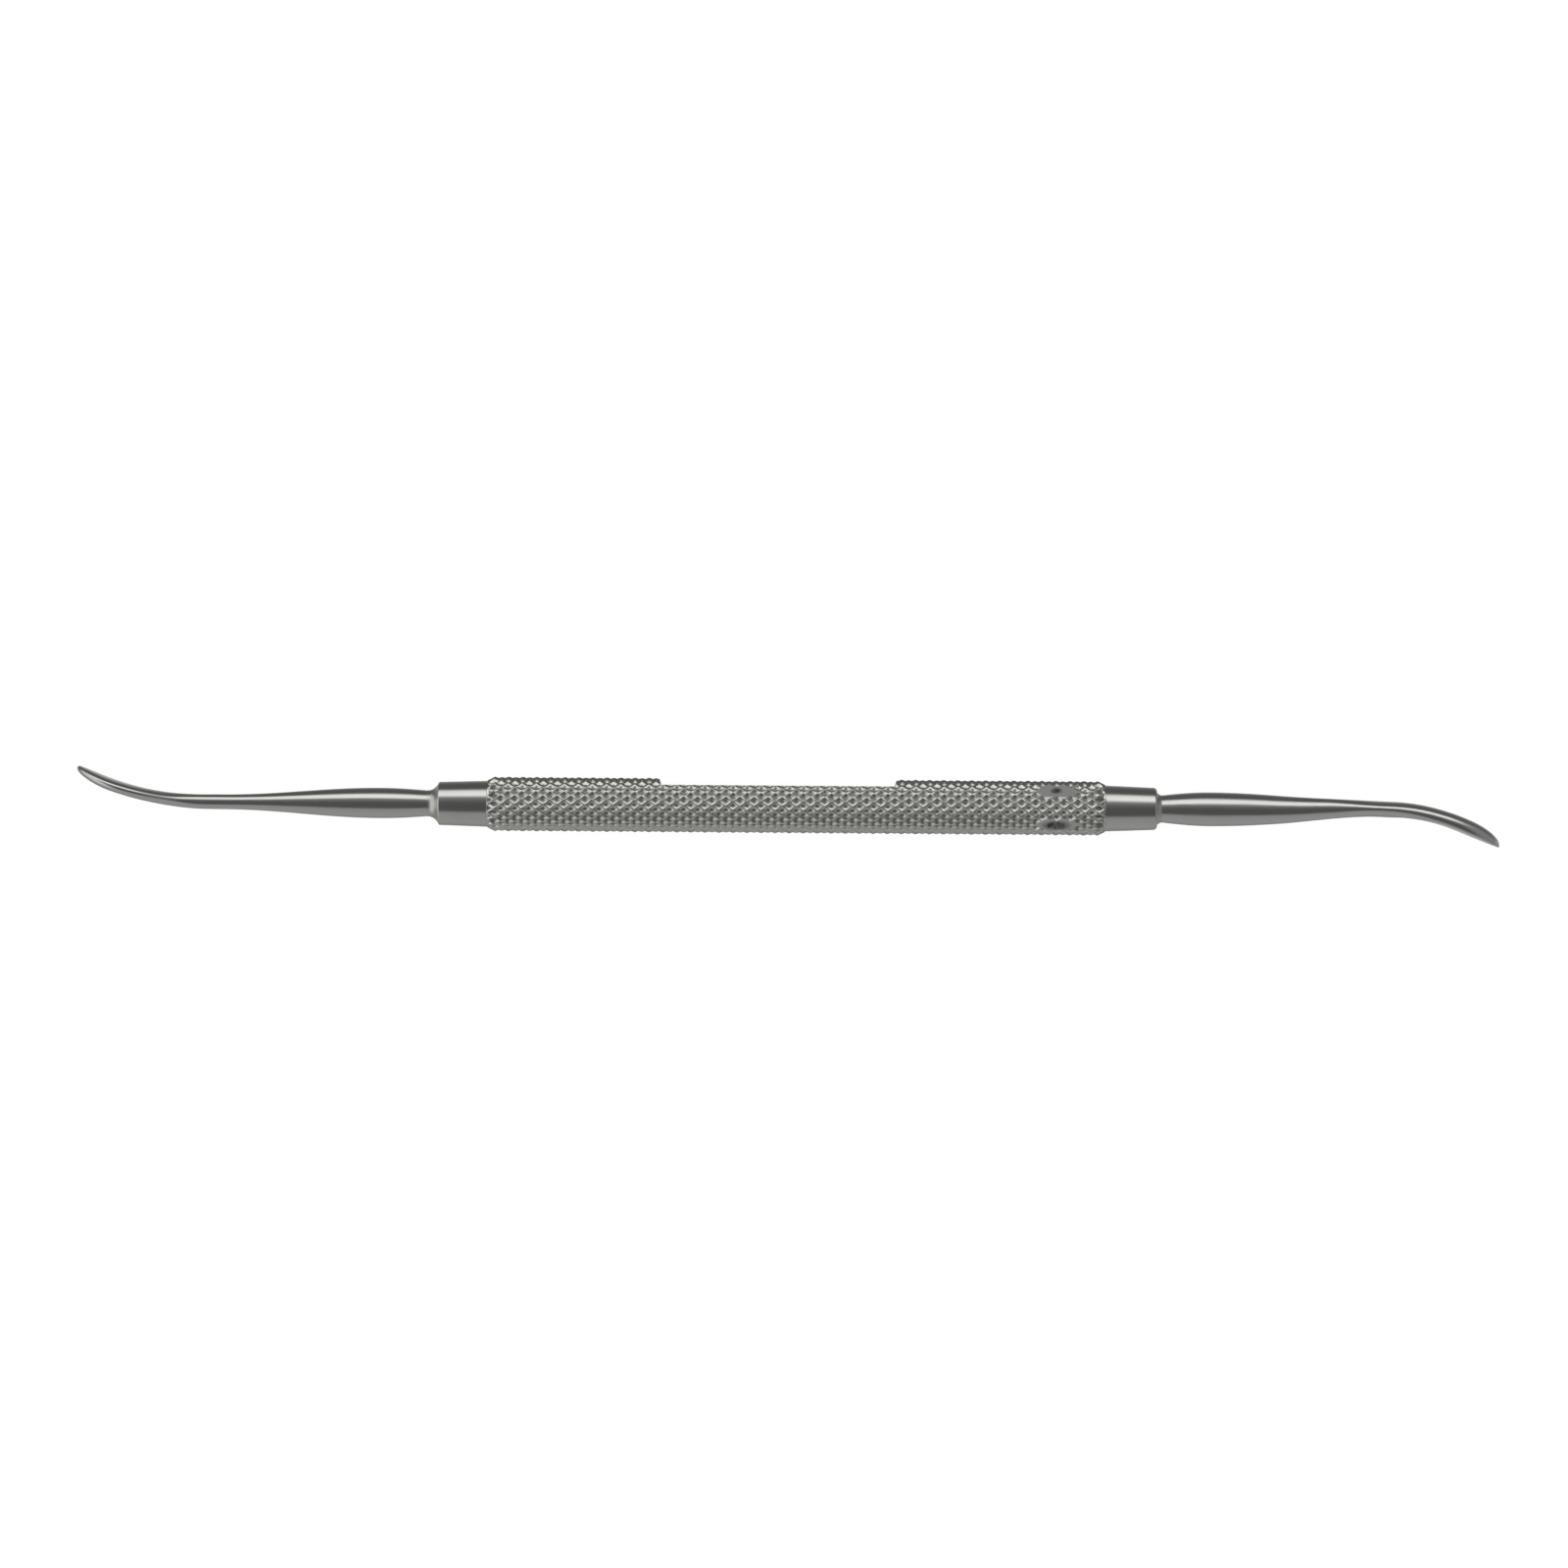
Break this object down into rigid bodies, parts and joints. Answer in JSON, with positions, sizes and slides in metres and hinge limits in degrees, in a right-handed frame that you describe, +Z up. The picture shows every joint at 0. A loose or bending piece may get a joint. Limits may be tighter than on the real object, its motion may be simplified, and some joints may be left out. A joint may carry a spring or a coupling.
{
  "type": "dental elevator",
  "caption": "Slim double-ended dental elevator with a knurled handle, a milled flat, smooth ferrules and curved blades that bend opposite ways.",
  "frame": {"origin": "on the surface the instrument lies on, under the handle's axis, in the middle of the overall length", "axes": "+X along the handle towards the shorter, more sharply bent blade, +Y the way the milled flat faces and the long blade's tip bends, +Z up"},
  "size_m": [0.17, 0.0086, 0.0065],
  "materials": {
    "knurled_steel": "rolled diamond knurl, bead blasted",
    "satin_steel": "turned and satin brushed around",
    "ground_steel": "ground and polished lengthwise",
    "braze_alloy": "smooth brazed fillet"
  },
  "bodies": {
    "root": {"handle_tube": "knurled_steel", "left_ferrule": "satin_steel", "right_ferrule": "satin_steel", "left_braze_ring": "braze_alloy", "right_braze_ring": "braze_alloy", "left_working_end": "ground_steel", "right_working_end": "ground_steel"}
  },
  "joints": []
}
